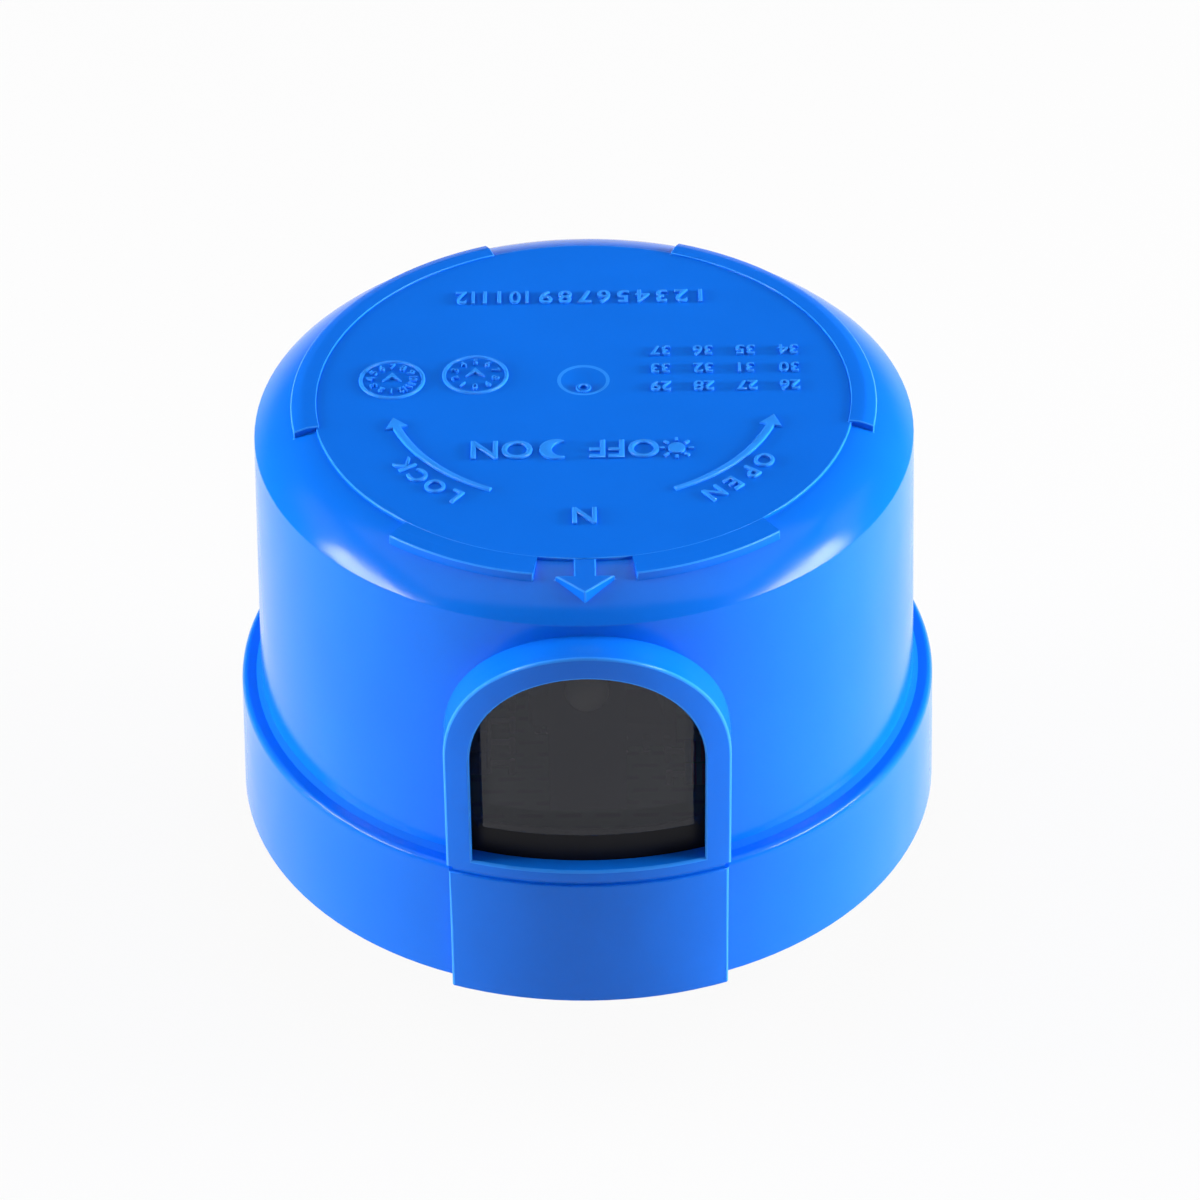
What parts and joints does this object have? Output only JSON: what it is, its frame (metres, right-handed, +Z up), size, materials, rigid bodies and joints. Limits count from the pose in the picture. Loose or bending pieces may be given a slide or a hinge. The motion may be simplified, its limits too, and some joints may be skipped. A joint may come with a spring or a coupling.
{
  "type": "photocell switch",
  "caption": "Twist-lock dusk-to-dawn photocell switch: blue drum-shaped cover with an arched smoked light window, sealing ring and curved locking blades underneath.",
  "frame": {"origin": "centre of the sealing plane, on the gasket's lower face and on the plug's axis", "axes": "+Z up out of the receptacle along the plug's axis, -Y towards the light window and the roof arrow, +X to the right seen from the window"},
  "size_m": [0.084, 0.0858, 0.0698],
  "materials": {
    "blue_plastic": "smooth moulded blue plastic",
    "smoked_plastic": "dark smoked clear plastic",
    "black_plastic": "fine moulded grain",
    "foam_rubber": "closed-cell foam",
    "brass": "stamped brass",
    "plated_steel": "zinc plated",
    "board_laminate": "solder mask over laminate",
    "relay_case": "moulded case",
    "film_case": "moulded case",
    "can_sleeve": "shrink sleeve",
    "varistor_coat": "dipped epoxy",
    "component_black": "moulded epoxy",
    "zener_glass": "tinted glass body",
    "fuse_coat": "flameproof lacquer",
    "resistor_coat": "lacquer",
    "sensor_resin": "clear resin"
  },
  "bodies": {
    "root": {"cover": "blue_plastic", "window_lens": "smoked_plastic", "base_plate": "black_plastic", "gasket": "foam_rubber", "line_blade": "brass", "load_blade": "brass", "neutral_blade": "brass", "blade_rivets": "plated_steel", "circuit_board": "board_laminate", "board_screws": "plated_steel", "power_relay": "relay_case", "film_capacitor": "film_case", "smoothing_capacitor": "can_sleeve", "timing_capacitor": "can_sleeve", "surge_varistor": "varistor_coat", "rectifier_diodes": "component_black", "zener_diode": "zener_glass", "relay_transistor": "component_black", "fuse_resistor": "fuse_coat", "bleed_resistors": "resistor_coat", "control_chip": "component_black", "sensor_holder": "black_plastic", "photo_sensor": "sensor_resin"}
  },
  "joints": []
}
